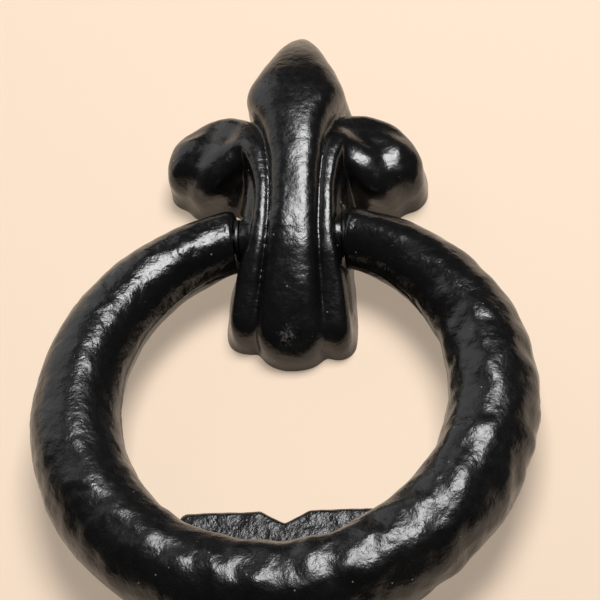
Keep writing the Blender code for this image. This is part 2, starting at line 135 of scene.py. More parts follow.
LOBE_RIDGE = [
    (13.0, 25.5, 4.0, 12.0, 19.8),
    (17.0, 22.2, 5.4, 10.0, 18.4),
    (21.3, 19.6, 6.0, 8.5, 16.8),
    (25.0, 18.9, 5.4, 6.5, 13.8),
]
FLANK = [
    (9.8, 21.0, 3.4, 11.0, 17.5),
    (9.2, 12.0, 3.5, 12.0, 18.4),
    (9.2, 4.0, 3.6, 11.0, 18.0),
    (9.6, -4.0, 3.5, 9.0, 16.0),
    (10.4, -11.0, 3.6, 6.0, 12.6),
    (11.2, -17.0, 3.2, 4.0, 9.6),
]
FLANK_SHIFT = 0.6
GROOVE = [
    (8.6, 32.0, 3.0, 12.0, 17.6),
    (7.4, 26.0, 3.0, 12.0, 19.2),
    (6.2, 19.5, 3.0, 12.0, 19.9),
    (5.6, 12.0, 3.0, 12.0, 19.7),
    (5.6, 4.0, 3.0, 11.0, 18.9),
    (6.1, -3.0, 3.0, 9.5, 17.3),
    (6.9, -9.0, 3.0, 7.5, 15.1),
    (7.7, -15.0, 3.0, 5.0, 12.2),
    (8.2, -20.4, 3.0, 3.0, 9.2),
]
GROOVE_SHIFT = 1.6
LOBE_DROP = 0.095
LOBE_START = 10
LOBE_SHIFT = -0.9
MIN_HALF_WIDTH = 0.6

# The head's core pockets: x, z, half width, half height and depth in millimetres.
BUD_POCKET = (0, 44, 7.5, 9.5, 11)
LOBE_POCKETS = [(-23.9, 23.5, 5.5, 8.5, 8), (22.1, 23.5, 5.5, 8.5, 8)]
POCKET_STEPS = 8
POCKET_SEGMENTS = 40

# The boss for the hinge pin, and how finely the head is fused and softened.
HINGE_BOSS = 5.2 * MM
BOSS_PROUD = 1.0 * MM
HEAD_VOXEL = 0.3 * MM
HEAD_SMOOTHING = 26
LOBE_SMOOTHING = 240

# The flared clearance cut in the head's side, facing each end of the ring.
CHEEK_RADIUS = 8.3 * MM
CHEEK_MOUTH = 10.3 * MM
CHEEK_DEPTH = 5 * MM

# The ring's round bar, in millimetres.
RING_RADIUS = 50.5
RING_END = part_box("hinge_washer_right")[1].x / MM + 0.4
RING_END_ROUNDING = 2.2
BAR_TOP = 7.5
BAR_BOTTOM = 11.5
BAR_SWELL = 2.7
RING_LEAN = math.radians(3.3)
RING_STATIONS = 620
BAR_SEGMENTS = 150
BORE_DEPTH = 8.0
COUNTERSINK = 0.4
EASED_STATIONS = 6
SQUARED_STATIONS = 8
ARM_SWELL = 0.7
ARM_SWELL_ANGLE = math.radians(318)
ARM_SWELL_SPREAD = 0.5
SEAM_HEIGHT = 0.22
SEAM_SPREAD = 0.035

# The striker plate.
STRIKER_VOXEL = 0.45 * MM
STRIKER_SMOOTHING = 4
STRIKER_BEVEL = 1.1 * MM

# The paint: its colours, the scuff on the foot, and the heights in millimetres between which
# the ring turns duller.
BLACK_WORN = (0.0035, 0.0035, 0.0037)
BLACK_FRESH = (0.006, 0.006, 0.0062)
SCUFF_COLOUR = (0.11, 0.105, 0.1)
DUST_COLOUR = (0.26, 0.24, 0.22)
FOOT_SCUFF = (-0.6, -10.0, -26.0)
DULL_FROM = -15
DULL_TO = -55

# The wall behind the knocker, half its width in metres and its own glow, and the world's light.
WALL_HALF = 1.5
WALL_SET_BACK = 0.2 * MM
WALL_COLOUR = (0.578, 0.452, 0.345)
WALL_GLOW = (0.92, 0.742, 0.574, 1)
WALL_GLOW_STRENGTH = 0.38
WORLD_STRENGTH = 0.03


# ---------------------------------------------------------------- mesh tools

def new_piece(name, bm, sharp_angle=40):
    """A closed bmesh as an object, shaded smooth except at its sharp edges."""
    bmesh.ops.recalc_face_normals(bm, faces=bm.faces)
    mesh = bpy.data.meshes.new(name)
    bm.to_mesh(mesh)
    bm.free()
    piece = bpy.data.objects.new(name, mesh)
    bpy.context.scene.collection.objects.link(piece)
    shade(piece, sharp_angle)
    return piece


def shade(piece, sharp_angle):
    piece.data.shade_smooth()
    piece.data.set_sharp_from_angle(angle=math.radians(sharp_angle))


def finish_piece(piece, material, node, body):
    """Paint a piece and tie it to its CAD node, its finish and its body."""
    piece.data.materials.clear()
    piece.data.materials.append(material)
    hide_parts(node)
    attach(piece, body)


def bake_modifiers(piece):
    """Keep a piece's evaluated mesh and drop its modifiers."""
    graph = bpy.context.evaluated_depsgraph_get()
    mesh = bpy.data.meshes.new_from_object(piece.evaluated_get(graph), depsgraph=graph)
    piece.modifiers.clear()
    piece.data = mesh


def cut(piece, cutters):
    """Cut solids out of a piece, and remove the cutters."""
    for cutter in cutters:
        modifier = piece.modifiers.new("cut", "BOOLEAN")
        modifier.operation = "DIFFERENCE"
        modifier.solver = "MANIFOLD"
        modifier.object = cutter
    bake_modifiers(piece)
    for cutter in cutters:
        bpy.data.objects.remove(cutter, do_unlink=True)


def remesh(piece, voxel, smoothing):
    """Fuse overlapping solids into one skin, with soft fillets where they meet."""
    modifier = piece.modifiers.new("fuse", "REMESH")
    modifier.mode = "VOXEL"
    modifier.voxel_size = voxel
    modifier = piece.modifiers.new("soften", "SMOOTH")
    modifier.factor = 0.5
    modifier.iterations = smoothing
    bake_modifiers(piece)


def soften(piece, iterations, weight):
    """Smooth a piece by weight(point in millimetres)."""
    group = piece.vertex_groups.new(name="softened")
    for vertex in piece.data.vertices:
        group.add([vertex.index], weight(vertex.co / MM), "REPLACE")
    modifier = piece.modifiers.new("soften", "SMOOTH")
    modifier.factor = 0.5
    modifier.iterations = iterations
    modifier.vertex_group = group.name
    bake_modifiers(piece)
    piece.vertex_groups.clear()


def roughen(piece, height):
    """Move each vertex along its normal by height(point in millimetres), in millimetres."""
    mesh = piece.data
    normals = [normal.vector.copy() for normal in mesh.vertex_normals]
    for vertex, normal in zip(mesh.vertices, normals):
        vertex.co += normal * (height(vertex.co / MM) * MM)


def loft_into(bm, loops, closed=False):
    """Skin a list of equal closed loops. A loop of one point is a pole."""
    rows = [[bm.verts.new(point) for point in loop] for loop in loops]
    pairs = list(zip(rows, rows[1:]))
    if closed:
        pairs.append((rows[-1], rows[0]))
    for row, following in pairs:
        count = max(len(row), len(following))
        for i in range(count):
            j = (i + 1) % count
            corners = [row[i % len(row)], row[j % len(row)],
                       following[j % len(following)], following[i % len(following)]]
            bm.faces.new(list(dict.fromkeys(corners)))
    if not closed:
        for row in (rows[0], rows[-1]):
            if len(row) > 1:
                bm.faces.new(row)


def circle(radius, y, segments):
    """A loop about the Y axis, or a single point where the radius is 0."""
    if radius == 0:
        return [Vector((0, y, 0))]
    angles = [2 * math.pi * i / segments for i in range(segments)]
    return [Vector((radius * math.cos(a), y, radius * math.sin(a))) for a in angles]


def hexagon(across_flats, y, segments):
    """A hexagonal loop about the Y axis, its points at equal angles."""
    points = []
    for i in range(segments):
        angle = 2 * math.pi * i / segments
        from_flat = (angle % (math.pi / 3)) - math.pi / 6
        radius = across_flats / 2 / math.cos(from_flat)
        points.append(Vector((radius * math.cos(angle), y, radius * math.sin(angle))))
    return points


def turned(name, profile, segments=72, closed=False):
    """Turn a profile of (radius, y) about the Y axis."""
    bm = bmesh.new()
    loft_into(bm, [circle(radius, y, segments) for radius, y in profile], closed)
    return new_piece(name, bm)


def plug(radius, start, end, place=(0, 0, 0), turn=0):
    """A round cutter along Y, turned about Z."""
    cutter = turned("plug", [(0, start), (radius, start), (radius, end), (0, end)], 48)
    cutter.data.transform(Matrix.Translation(Vector(place)) @ Matrix.Rotation(turn, 4, "Z"))
    return cutter


def place_on_x(piece, x, side):
    """Turn a piece made along +Y to face along +X or -X, on the hinge axis."""
    piece.data.transform(Matrix.Translation(Vector((x, PIVOT.y, PIVOT.z)))
                         @ Matrix.Rotation(-side * math.pi / 2, 4, "Z"))


def step_up(value, low, high):
    """A smooth step from 0 at low to 1 at high."""
    t = min(1.0, max(0.0, (value - low) / (high - low)))
    return t * t * (3 - 2 * t)


# ---------------------------------------------------------------- materials

class Shader:
    """A material's node tree, with short calls to add and join nodes."""

    def __init__(self, name, colour, roughness, metallic):
        self.material = bpy.data.materials.new(name)
        self.material.use_nodes = True
        self.tree = self.material.node_tree
        self.surface = self.tree.nodes["Principled BSDF"]
        self.surface.inputs["Base Color"].default_value = (*colour, 1)
        self.surface.inputs["Roughness"].default_value = roughness
        self.surface.inputs["Metallic"].default_value = metallic
        self.place = self.add("ShaderNodeTexCoord").outputs["Object"]

    def add(self, kind, **inputs):
        node = self.tree.nodes.new(kind)
        for key, value in inputs.items():
            self.feed(node.inputs[key.replace("_", " ")], value)
        return node

    def feed(self, socket, value):
        if isinstance(value, bpy.types.NodeSocket):
            self.tree.links.new(value, socket)
        else:
            socket.default_value = value

    def noise(self, size, detail=2.0, roughness=0.5, stretch=None):
        """Noise with features of a size in millimetres."""
        place = self.place
        if stretch:
            mapping = self.add("ShaderNodeMapping", Vector=place)
            mapping.inputs["Scale"].default_value = stretch
            place = mapping.outputs["Vector"]
        node = self.add("ShaderNodeTexNoise", Vector=place, Scale=1 / (size * MM), Detail=detail,
                        Roughness=roughness)
        return node.outputs["Fac"]

    def cells(self, size):
        """Distance from scattered points, a size in millimetres apart."""
        node = self.add("ShaderNodeTexVoronoi", Vector=self.place, Scale=1 / (size * MM),
                        Randomness=1.0)
        return node.outputs["Distance"]

    def ramp(self, value, low, high, start=0.0, end=1.0):
        """Map low..high to start..end, clamped."""
        node = self.add("ShaderNodeMapRange", Value=value)
        for key, number in (("From Min", low), ("From Max", high), ("To Min", start), ("To Max", end)):
            node.inputs[key].default_value = number
        return node.outputs["Result"]

    def maths(self, operation, a, b):
        node = self.add("ShaderNodeMath")
        node.operation = operation
        self.feed(node.inputs[0], a)
        self.feed(node.inputs[1], b)
        return node.outputs["Value"]

    def blend(self, factor, a, b):
        """Mix two colours."""
        node = self.add("ShaderNodeMix")
        node.data_type = "RGBA"
        self.feed(node.inputs["Factor"], factor)
        for socket, colour in ((node.inputs[6], a), (node.inputs[7], b)):
            self.feed(socket, colour if isinstance(colour, bpy.types.NodeSocket) else (*colour, 1))
        return node.outputs[2]

    def bump(self, height, depth, below=None):
        """A bump of a depth in millimetres, over an earlier one."""
        node = self.add("ShaderNodeBump", Height=height, Strength=1.0, Distance=depth * MM)
        if below:
            self.tree.links.new(below, node.inputs["Normal"])
        return node.outputs["Normal"]

    def set(self, name, value):
        self.feed(self.surface.inputs[name], value)


def star_scuff(shader, spot):
    """A small ragged scuff around a spot given in millimetres."""
    node = shader.add("ShaderNodeVectorMath", Vector=shader.place)
    node.operation = "DISTANCE"
    node.inputs[1].default_value = Vector(spot) * MM
    ragged = shader.maths("MULTIPLY", shader.noise(1.6, 3, 0.7), 6 * MM)
    away = shader.maths("ADD", node.outputs["Value"], ragged)
    near = shader.ramp(away, 5.4 * MM, 4.0 * MM)
    return shader.maths("MULTIPLY", near, shader.ramp(shader.noise(0.7, 3, 0.7), 0.45, 0.6))


def small_scuffs(shader, patch, worn_spot):
    """Thin upright scuffs in some patches of the paint, and the worn spot where there is one."""
    scuff = shader.noise(1.6, 4, 0.6, stretch=(1, 1, 7))
    scuff = shader.ramp(scuff, 0.66, 0.74)
    scuff = shader.maths("MULTIPLY", scuff, shader.ramp(patch, 0.53, 0.62))
    if worn_spot:
        scuff = shader.maths("MAXIMUM", scuff, star_scuff(shader, worn_spot))
    return scuff


def paint_roughness(shader, gloss, dulled, scuff, dust):
    """An uneven gloss, duller low down, where scuffed and where dusty."""
    roughness = shader.ramp(shader.noise(2.4, 4, 0.65), 0.3, 0.7, gloss, gloss + 0.11)
    low_down = shader.add("ShaderNodeSeparateXYZ", Vector=shader.place).outputs["Z"]
    low_down = shader.ramp(low_down, DULL_FROM * MM, DULL_TO * MM)
    for mask, amount in ((low_down, dulled), (scuff, 0.2), (dust, 0.4)):
        roughness = shader.maths("ADD", roughness, shader.maths("MULTIPLY", mask, amount))
    return roughness


def paint_grain(shader, orange_peel, pitting):
    """Orange peel in three sizes, and fine pits."""
    grain = shader.bump(shader.noise(3.6, 3, 0.6), orange_peel * 2.2)
    grain = shader.bump(shader.noise(1.3, 3, 0.6), orange_peel, below=grain)
    grain = shader.bump(shader.noise(0.5, 2, 0.55), orange_peel * 0.3, below=grain)
    pits = shader.ramp(shader.cells(1.3), 0.0, 0.28)
    return shader.bump(pits, pitting, below=grain)


def black_paint(name, orange_peel, pitting, gloss, specular, dulled=0.0, worn_spot=None):
    """Black paint over a casting, with dust, specks and small scuffs, and duller low down."""
    shader = Shader(name, (0.005, 0.005, 0.005), 0.25, 0.0)
    dust = shader.ramp(shader.cells(4.6), 0.052, 0.025)
    patch = shader.noise(14, 3)
    scuff = small_scuffs(shader, patch, worn_spot)
    colour = shader.blend(shader.ramp(patch, 0.35, 0.7), BLACK_WORN, BLACK_FRESH)
    colour = shader.blend(scuff, colour, SCUFF_COLOUR)
    colour = shader.blend(dust, colour, DUST_COLOUR)
    shader.set("Base Color", colour)
    shader.set("Specular IOR Level", specular)
    shader.set("Roughness", paint_roughness(shader, gloss, dulled, scuff, dust))
    shader.set("Normal", paint_grain(shader, orange_peel, pitting))
    return shader.material


def plated_steel(name, colour, roughness):
    """Plated or blackened steel, faintly clouded, with fine turning marks."""
    shader = Shader(name, colour, roughness, 1.0)
    cloud = shader.noise(3.5, 3)
    warm = tuple(value * factor for value, factor in zip(colour, (1.04, 1.0, 0.9)))
    cool = tuple(value * factor for value, factor in zip(colour, (0.88, 0.93, 1.0)))
    shader.set("Base Color", shader.blend(shader.ramp(cloud, 0.35, 0.65), warm, cool))
    shader.set("Roughness", shader.ramp(shader.noise(1.1, 3), 0.3, 0.7, roughness - 0.08, roughness + 0.1))
    marks = shader.noise(0.35, 2, 0.5, stretch=(1, 12, 1))
    shader.set("Normal", shader.bump(marks, 0.012))
    return shader.material


# ---------------------------------------------------------------- the cast head

def smooth_stations(stations):
    """Run a Catmull-Rom curve through the stations."""
    points = [Vector(station) for station in stations]
    padded = [2 * points[0] - points[1], *points, 2 * points[-1] - points[-2]]
    result = []
    for a, b, c, d in zip(padded, padded[1:], padded[2:], padded[3:]):
        for step in range(SPINE_STEPS):
            t = step / SPINE_STEPS
            result.append(0.5 * (2 * b + (c - a) * t + (2 * a - 5 * b + 4 * c - d) * t ** 2
                                 + (3 * b - a - 3 * c + d) * t ** 3))
    result.append(points[-1])
    return result


def rounded_end(station, before, length):
    """Carry a petal on past its last station, shrinking to a rounded end."""
    slope = (station - before) / (Vector(station[:2]) - Vector(before[:2])).length
    result = []
    for step in range(1, END_STEPS + 1):
        angle = math.radians(86) * step / END_STEPS
        x, z, half_width, shoulder, crest = station + slope * (length * math.sin(angle))
        shrink = math.cos(angle)
        half_width = max(half_width, MIN_HALF_WIDTH) * shrink
        result.append(Vector((x, z, half_width, shoulder, shoulder + (crest - shoulder) * shrink)))
    return result


def local_draft(x, z, draft):
    """The stem's draft, fading to the lobes' steeper sides where the band curls over."""
    t = min(1.0, max(0.0, (x + 0.35 * max(z, 0) - 17) / 4))
    return draft + (LOBE_DRAFT - draft) * t


def petal_loop(station, across, base, draft, power):
    """A petal's section: drafted sides up to the shoulder, then a rounded crown."""
    x, z, half_width, shoulder, crest = station
    foot = half_width + (shoulder + base) * local_draft(x, z, draft)
    section = [(foot, base)]
    for i in range(CROWN_SEGMENTS + 1):
        angle = math.pi * i / CROWN_SEGMENTS
        across_crown = math.copysign(abs(math.cos(angle)) ** power, math.cos(angle))
        section.append((half_width * across_crown,
                        -shoulder - (crest - shoulder) * abs(math.sin(angle)) ** power))
    section.append((-foot, base))
    return [Vector((x + across[0] * s, y, z + across[1] * s)) * MM for s, y in section]


def petal_into(bm, stations, start_length, end_length, base, draft, side=1, power=CROWN_POWER):
    """A petal along its spine, with rounded ends, reaching behind the back face."""
    spine = smooth_stations(stations)
    start = rounded_end(spine[0], spine[1], start_length)
    end = rounded_end(spine[-1], spine[-2], end_length)
    spine = start[::-1] + spine + end
    loops = []
    for i, station in enumerate(spine):
        before = spine[max(i - 1, 0)]
        after = spine[min(i + 1, len(spine) - 1)]
        along = (Vector(after[:2]) - Vector(before[:2])).normalized()
        loop = petal_loop(station, (-along.y, along.x), base, draft, power)
        loop = [Vector((side * point.x, point.y, point.z)) for point in loop]
        loops.append(loop if side > 0 else loop[::-1])
    loft_into(bm, loops)


def dropped(stations, side):
    """The lobes sit a little lower and nearer the stem on the right of the casting."""
    return [(x + side * LOBE_SHIFT, z - side * LOBE_DROP * max(x - LOBE_START, 0), *sizes)
            for x, z, *sizes in stations]


def pocket(place):
    """An oval core pocket in the back of the head, narrower at its floor."""
    x, z, half_width, half_height, depth = place
    levels = [(1, 1)]
    for step in range(POCKET_STEPS):
        slope = math.pi / 2 * step / POCKET_STEPS
        levels.append((-depth * math.sin(slope), 0.3 + 0.7 * math.cos(slope) ** 0.5))
    angles = [2 * math.pi * i / POCKET_SEGMENTS for i in range(POCKET_SEGMENTS)]
    loops = []
    for y, scale in levels:
        loops.append([Vector((x + half_width * scale * math.cos(a), y,
                              z + half_height * scale * math.sin(a))) * MM for a in angles])
    bm = bmesh.new()
    loft_into(bm, loops)
    return new_piece("pocket", bm)


def back_trim():
    """A block that takes off everything behind the door's face."""
    bm = bmesh.new()
    bmesh.ops.create_cube(bm, size=1)
    bmesh.ops.scale(bm, verts=bm.verts, vec=(120 * MM, 20 * MM, 160 * MM))
    bmesh.ops.translate(bm, verts=bm.verts, vec=(0, 10 * MM, 20 * MM))
    return new_piece("trim", bm)


def back_trim_at(z):
    """The same, centred on a height."""
    trim = back_trim()
    trim.data.transform(Matrix.Translation((0, 0, z - 20 * MM)))
    return trim


def cast_surface(point):
    """The uneven skin of a smooth sand casting, in millimetres, with more dimples on its lobes."""
    lobe = step_up(abs(point.x), 13.0, 18.0) * step_up(point.z, 8.0, 12.0)
    wave = 0.22 * noise.noise(point / 10.0)
    dimples = 0.38 * lobe * noise.noise(point / 5.5 + Vector((1, 4, 6)))
    ripple = (0.11 + 0.10 * lobe) * noise.noise(point / 4.2 + Vector((7, 3, 1)))
    grain = 0.030 * noise.noise(point / 1.5 + Vector((2, 9, 4)))
    return wave + dimples + ripple + grain


def boss_into(bm, half_length):
    """The round boss that carries the hinge pin across the stem."""
    segments = 64
    loops = []
    for x in (-half_length, half_length):
        angles = [2 * math.pi * i / segments for i in range(segments)]
        loops.append([Vector((x, PIVOT.y + HINGE_BOSS * math.cos(a), PIVOT.z + HINGE_BOSS * math.sin(a)))
                      for a in angles])
    loft_into(bm, loops)


def lobe_weight(point):
    """How far the casting's edges are softened: fully on the lobes, less at the foot."""
    lobe = step_up(abs(point.x), 12.5, 16.0) * step_up(point.z, 8.0, 12.0)
    foot = 0.5 * step_up(-point.z, 16.0, 24.0)
    bud = 0.6 * step_up(point.z, 38.0, 44.0)
    return max(lobe, foot, bud)


def stud_holes():
    """The clearance holes for the head's two studs."""
    cutters = []
    for node in ("head_stud_upper", "head_stud_lower"):
        low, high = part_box(node)
        radius = (high.x - low.x) / 2 + GAP
        place = (0, 0, (low.z + high.z) / 2)
        cutters.append(plug(radius, low.y - GAP, 2 * MM, place))
    return cutters


def moved(stations, side, shift):
    """Stations set a little further out on the right of the casting."""
    return [(x + shift * (side > 0), *rest) for x, *rest in stations]


def side_petals_into(bm, side, band, draft):
    """One side's band and lobe, the shapes that fill the lobe, and the stem's flank and groove."""
    petal_into(bm, dropped(SIDE_PETAL, side) + band, 4.5, 5.0, 3.2, draft, side, BAND_CROWN_POWER)
    for stations, start_length, end_length, base in (
            (dropped(LOBE_BULGE, side), 3.5, 4.0, 3.4),
            (dropped(LOBE_FILL, side), 3.0, 3.0, 3.5),
            (dropped(LOBE_RIDGE, side), 2.0, 3.5, 3.6),
            (moved(FLANK, side, FLANK_SHIFT), 3.0, 3.0, 3.7),
            (moved(GROOVE, side, GROOVE_SHIFT), 2.5, 2.5, 3.8)):
        petal_into(bm, stations, start_length, end_length, base, LOBE_DRAFT, side)


def head_skin(cheek):
    """The petals and the boss, fused into one softened and slightly uneven skin."""
    bm = bmesh.new()
    petal_into(bm, BUD_AND_RIB, 4.4, 7.2, 3.0, RIB_DRAFT, power=RIB_CROWN_POWER)
    side_petals_into(bm, -1, LEFT_BAND, LEFT_DRAFT)
    side_petals_into(bm, 1, RIGHT_BAND, RIGHT_DRAFT)
    boss_into(bm, cheek + BOSS_PROUD)
    head = new_piece("fleur_head_cast", bm)
    remesh(head, HEAD_VOXEL, HEAD_SMOOTHING)
    soften(head, LOBE_SMOOTHING, lobe_weight)
    roughen(head, cast_surface)
    return head


def head_cutters(cheek):
    """What is cut from the head: its back, pockets, cheeks and holes."""
    pin_radius = (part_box("hinge_pin")[1].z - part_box("hinge_pin")[0].z) / 2
    cutters = [back_trim(), pocket(BUD_POCKET)] + stud_holes()
    for side, place in zip((-1, 1), LOBE_POCKETS):
        cutters.append(pocket(place))
        flare = turned("cheek", [(0, 0), (CHEEK_RADIUS, 0), (CHEEK_MOUTH, CHEEK_DEPTH), (0, CHEEK_DEPTH)], 64)
        place_on_x(flare, side * cheek, side)
        cutters.append(flare)
    cutters.append(plug(pin_radius + GAP, -20 * MM, 20 * MM, PIVOT, math.pi / 2))
    grub_low, grub_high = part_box("pin_grub_screw")
    grub_x = (grub_low.x + grub_high.x) / 2
    cutters.append(plug((grub_high.x - grub_low.x) / 2 + GAP, PIVOT.y, 2 * MM, (grub_x, 0, 0)))
    return cutters


def cast_head(paint):
    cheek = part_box("hinge_washer_right")[0].x - GAP
    head = head_skin(cheek)
    cut(head, head_cutters(cheek))
    shade(head, 50)
    finish_piece(head, paint, "fleur_head", FIXED)


# ---------------------------------------------------------------- the hammered ring

def bar_radius(angle):
    """The bar's radius in millimetres, at an angle from the top of the ring."""
    swell = ((1 + math.cos(angle)) / 2) ** BAR_SWELL
    return BAR_BOTTOM + (BAR_TOP - BAR_BOTTOM) * swell


def dents(point, size, seed):
    """Shallow round hammer marks scattered a size in millimetres apart."""
    distances, centres = noise.voronoi(point / size + Vector((seed, seed, seed)))
    depth = 0.5 + 0.5 * noise.noise(centres[0] * 7.3)
    return -depth * max(0.0, 1 - (distances[0] / 0.62) ** 2)


def hammered_surface(point, angle):
    """Hammer marks over slow swellings, in millimetres: lumpier low down, finer-grained to the left."""
    low = 0.5 - 0.5 * math.cos(angle - math.radians(-20))
    left = max(0.0, -math.sin(angle - math.radians(15)))
    marks = (0.25 + 0.2 * low) * dents(point, 9.5, 3.1) + 0.12 * dents(point, 5.0, 11.7)
    lumps = (0.16 + 0.55 * low * (1 - left)) * noise.noise(point / 6.0 + Vector((3, 8, 5)))
    swelling = 0.26 * noise.noise(point / 13.0)
    ripple = (0.08 + 0.06 * low) * noise.noise(point / 2.8 + Vector((5, 1, 8)))
    grain = (0.025 + 0.025 * left) * noise.noise(point / 1.4 + Vector((4, 6, 2)))
    return marks + lumps + swelling + ripple + grain


def arm_swell(angle):
    """The upper left arm is a little fuller on its outer side."""
    from_middle = math.remainder(angle - ARM_SWELL_ANGLE, 2 * math.pi)
    return ARM_SWELL * math.exp(-(from_middle / ARM_SWELL_SPREAD) ** 2)


def seam(turn):
    """The mould's parting line, a low fin along the inner side of the bar."""
    from_inner = math.remainder(turn - math.pi, 2 * math.pi)
    return SEAM_HEIGHT * math.exp(-(from_inner / SEAM_SPREAD) ** 2)


def end_rounding(distance):
    """How far the bar's surface draws in towards its flat ends."""
    inset = max(0.0, 1 - distance / RING_END_ROUNDING)
    return RING_END_ROUNDING * (1 - math.sqrt(1 - inset ** 2))


def ring_loops():
    """The ring hanging straight down from the pivot, in millimetres."""
    end_angle = math.asin(RING_END / RING_RADIUS)
    centre_drop = RING_RADIUS * math.cos(end_angle)
    spacing = RING_RADIUS * (2 * math.pi - 2 * end_angle) / RING_STATIONS
    loops = []
    for i in range(RING_STATIONS + 1):
        angle = end_angle + (2 * math.pi - 2 * end_angle) * i / RING_STATIONS
        outward = Vector((math.sin(angle), 0, math.cos(angle)))
        along = Vector((math.cos(angle), 0, -math.sin(angle)))
        centre = RING_RADIUS * outward - Vector((0, 0, centre_drop))
        end_x = math.copysign(RING_END, centre.x)
        stations_in = min(i, RING_STATIONS - i)
        ease = min(1.0, stations_in / EASED_STATIONS)
        rounding = end_rounding(stations_in * spacing)
        loop = []
        for k in range(BAR_SEGMENTS):
            turn = 2 * math.pi * k / BAR_SEGMENTS
            offset = outward * math.cos(turn) + Vector((0, 1, 0)) * math.sin(turn)
            point = centre + bar_radius(angle) * offset
            lift = (hammered_surface(point, angle) + seam(turn)) * ease - rounding
            lift += arm_swell(angle) * max(0.0, math.cos(turn))
            point += offset * lift
            if stations_in < SQUARED_STATIONS:
                squared = (1 - stations_in / SQUARED_STATIONS) ** 2
                point += along * ((end_x - point.x) / along.x) * squared
            loop.append(point)
        loops.append(loop)
    return loops


def bore_loops(end_loop, side):
    """From the bottom of the pin's bore out to the ring's flat end, in millimetres."""
    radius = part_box("hinge_pin")[1].z / MM + GAP / MM
    result = [[Vector((side * (RING_END + BORE_DEPTH), 0, 0))]]
    for depth, grow in ((BORE_DEPTH, 0), (COUNTERSINK, 0), (0, COUNTERSINK)):
        loop = []
        for point in end_loop:
            angle = math.atan2(point.z, point.y)
            loop.append(Vector((side * (RING_END + depth), (radius + grow) * math.cos(angle),
                                (radius + grow) * math.sin(angle))))
        result.append(loop)
    return result


def hammered_ring(paint):
    loops = ring_loops()
    loops = bore_loops(loops[0], 1) + loops + bore_loops(loops[-1], -1)[::-1]
    bm = bmesh.new()
    loft_into(bm, loops)
    bmesh.ops.scale(bm, verts=bm.verts, vec=(MM, MM, MM))
    bmesh.ops.transform(bm, verts=bm.verts,
                        matrix=Matrix.Translation(PIVOT) @ Matrix.Rotation(-RING_LEAN, 4, "X"))
    ring = new_piece("hammered_ring", bm, 50)
    finish_piece(ring, paint, "knocker_ring", MOVING)


# ---------------------------------------------------------------- the striker plate

def striker_surface(point):
    """Coarse hammering, flatter than the ring's, in millimetres."""
    marks = 0.22 * dents(point, 7.0, 5.9) + 0.10 * dents(point, 3.2, 2.3)
    ripple = 0.10 * noise.noise(point / 3.0)
    return marks + ripple + 0.035 * noise.noise(point / 1.3)


def striker_outline(low, high):
    """The plate's outline with a V-notch in its upper and lower edges."""
    corner = 2.5 * MM
    notch_half_width = 6 * MM
    notch_depth = 3.4 * MM
    half_width = (high.x - low.x) / 2
    half_height = (high.z - low.z) / 2
    half = [(0, half_height - notch_depth), (notch_half_width, half_height)]
    for x, z, start in ((half_width - corner, half_height - corner, 90),
                        (half_width - corner, corner - half_height, 0)):
        for step in range(7):
            angle = math.radians(start - 15 * step)
            half.append((x + corner * math.cos(angle), z + corner * math.sin(angle)))
    half.append((notch_half_width, -half_height))
    return half + [(-x, -z) for x, z in half]


def striker_plate(paint):
    low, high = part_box("striker_plate")
    middle = (low.z + high.z) / 2
    outline = striker_outline(low, high)
    levels = ((3 * MM, 1.01), (low.y + STRIKER_BEVEL, 1), (low.y, 0.962))
    bm = bmesh.new()
    loft_into(bm, [[Vector((x * scale, y, middle + z * scale)) for x, z in outline] for y, scale in levels])
    plate = new_piece("striker_plate_cast", bm)
    remesh(plate, STRIKER_VOXEL, STRIKER_SMOOTHING)
    roughen(plate, striker_surface)
    stud_low, stud_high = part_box("striker_stud")
    hole = plug((stud_high.x - stud_low.x) / 2 + GAP, stud_low.y - GAP, 2 * MM, (0, 0, middle))
    cut(plate, [back_trim_at(middle), hole])
    shade(plate, 50)
    finish_piece(plate, paint, "striker_plate", FIXED)


# ---------------------------------------------------------------- pin, washers, studs and nuts

def rounded_profile(radius, start, end, ease, steps=5):
    """The outer profile of a rod with rounded edges, from pole to pole."""
    profile = [(0, start)]
    for step in range(steps + 1):
        angle = math.pi / 2 * step / steps
        profile.append((radius - ease + ease * math.sin(angle), start + ease - ease * math.cos(angle)))
    for step in range(steps + 1):
        angle = math.pi / 2 * step / steps
        profile.append((radius - ease + ease * math.cos(angle), end - ease + ease * math.sin(angle)))
    profile.append((0, end))
    return profile


def hinge_pin(steel):
    low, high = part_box("hinge_pin")
    radius = (high.z - low.z) / 2
    profile = rounded_profile(radius, low.x, high.x, 0.6 * MM)
    groove = [(radius, -0.9 * MM), (radius - 0.25 * MM, -0.6 * MM),
              (radius - 0.25 * MM, 0.6 * MM), (radius, 0.9 * MM)]
    middle = len(profile) // 2
    pin = turned("hinge_pin_steel", profile[:middle] + groove + profile[middle:])
    place_on_x(pin, 0, 1)
    finish_piece(pin, steel, "hinge_pin", FIXED)


def washer_profile(radius, bore, start, end):
    """A stamped washer: rounded on the punched side, crisp on the other."""
    ease = min(0.3 * MM, (end - start) / 3)
    return [(bore, start + ease / 2), (bore + ease / 2, start), (radius - ease, start),
            (radius - ease * 0.3, start + ease * 0.3), (radius, start + ease),
            (radius, end - ease / 2), (radius - ease / 2, end), (bore + ease / 2, end),
            (bore, end - ease / 2)]


def hinge_washers(black_steel):
    """The thin washers between the head and the ring's ends."""
    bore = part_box("hinge_pin")[1].z + GAP
    for side, node in ((-1, "hinge_washer_left"), (1, "hinge_washer_right")):
        low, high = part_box(node)
        radius = (high.z - low.z) / 2
        thickness = high.x - low.x
        disc = turned(node + "_disc", washer_profile(radius, bore, 0, thickness), closed=True)
        place_on_x(disc, low.x if side > 0 else high.x, side)
        finish_piece(disc, black_steel, node, FIXED)


